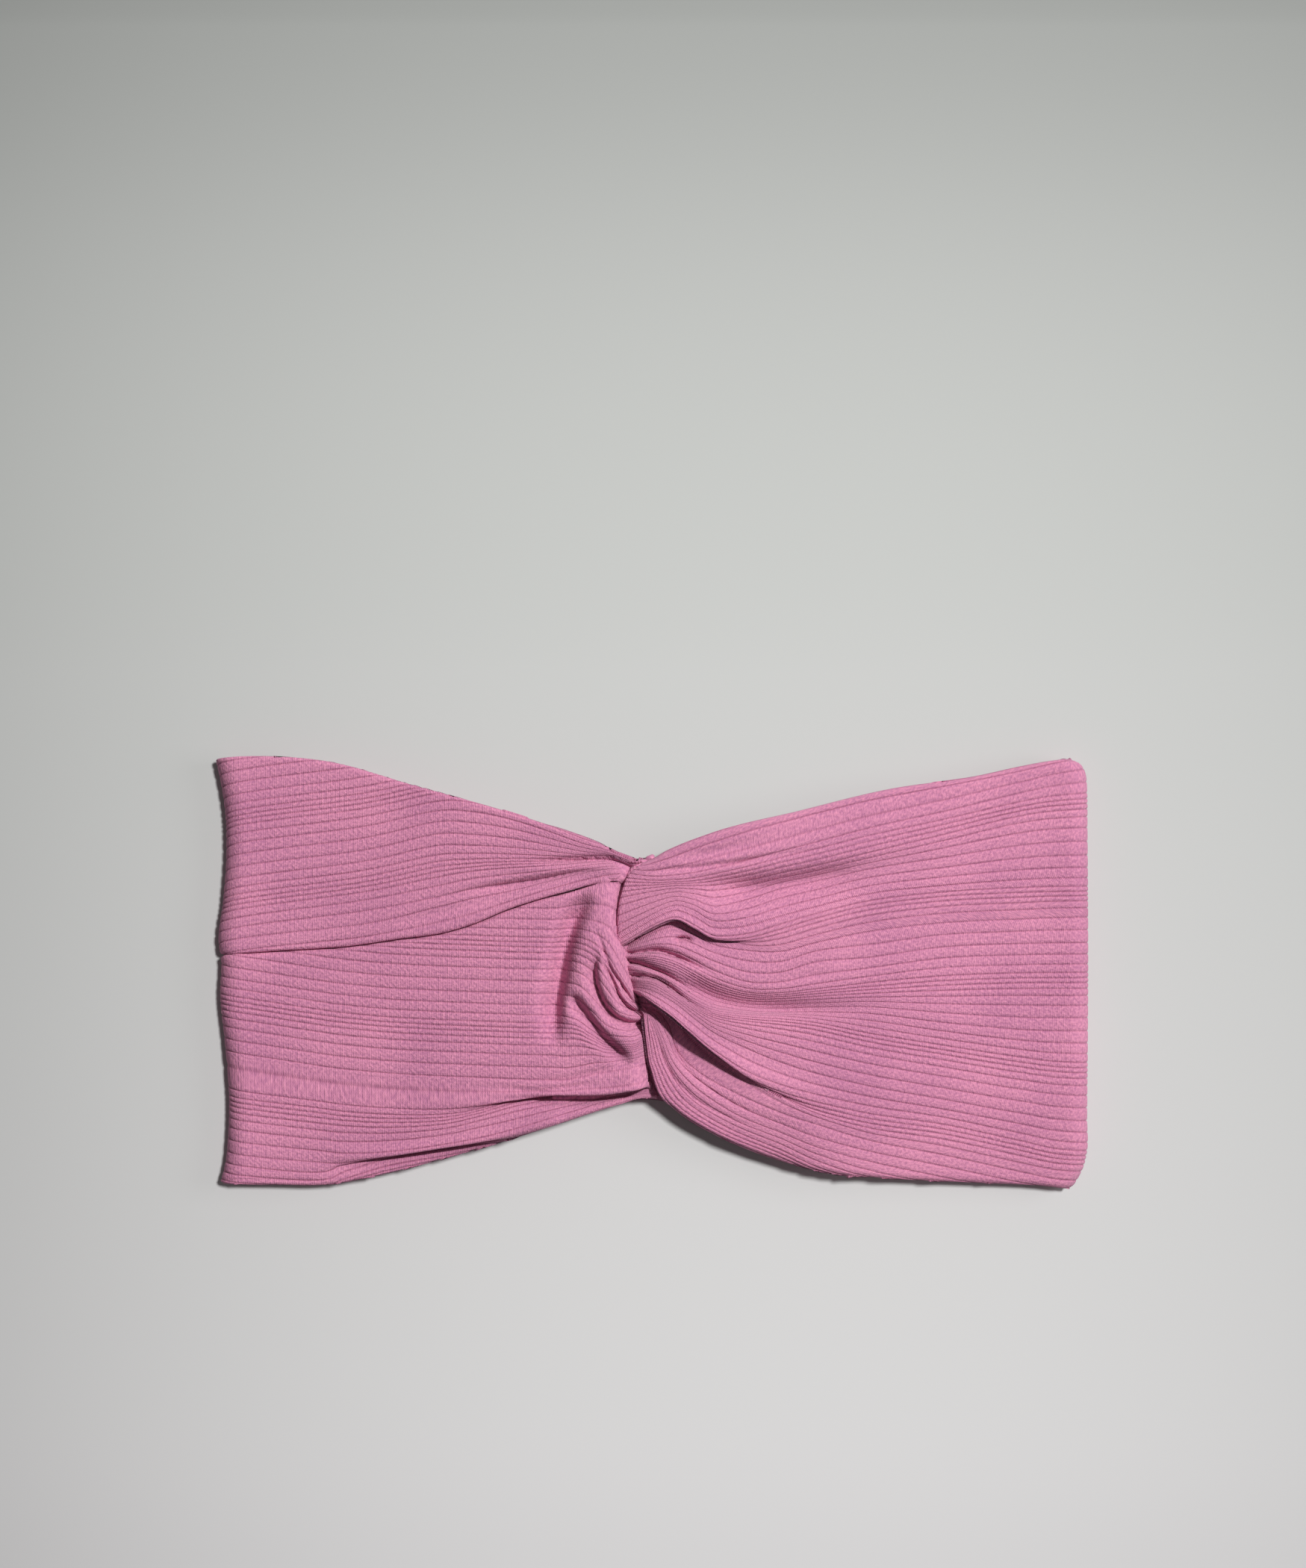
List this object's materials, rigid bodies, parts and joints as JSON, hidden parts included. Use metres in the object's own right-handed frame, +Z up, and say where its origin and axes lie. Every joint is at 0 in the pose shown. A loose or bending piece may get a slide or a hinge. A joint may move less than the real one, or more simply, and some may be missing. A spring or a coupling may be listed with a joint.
{
  "type": "sports headband",
  "caption": "Wide twist-front headband of ribbed double-layer knit, lying flat as a closed loop with its knot in the middle of the front.",
  "frame": {"origin": "middle of the bounding box on the underside, on the surface that the headband lies on", "axes": "+X along the laid-flat band towards the right wrap's folded end, +Y across the band towards its upper edge as worn, +Z up from the back panel to the knot"},
  "size_m": [0.2398, 0.1189, 0.0204],
  "materials": {
    "face_knit": "matt variegated rib knit, dusty rose pink",
    "lining_knit": "matt rib knit, dusty rose pink, a little darker",
    "seam_thread": "spun polyester sewing thread, rose pink"
  },
  "bodies": {
    "root": {"left_wrap_face": "face_knit", "left_wrap_lining": "lining_knit", "right_wrap_face": "face_knit", "right_wrap_lining": "lining_knit", "back_panel_face": "face_knit", "back_panel_lining": "lining_knit", "left_side_seam": "seam_thread", "right_side_seam": "seam_thread", "knot_tack_stitch": "seam_thread"}
  },
  "joints": []
}
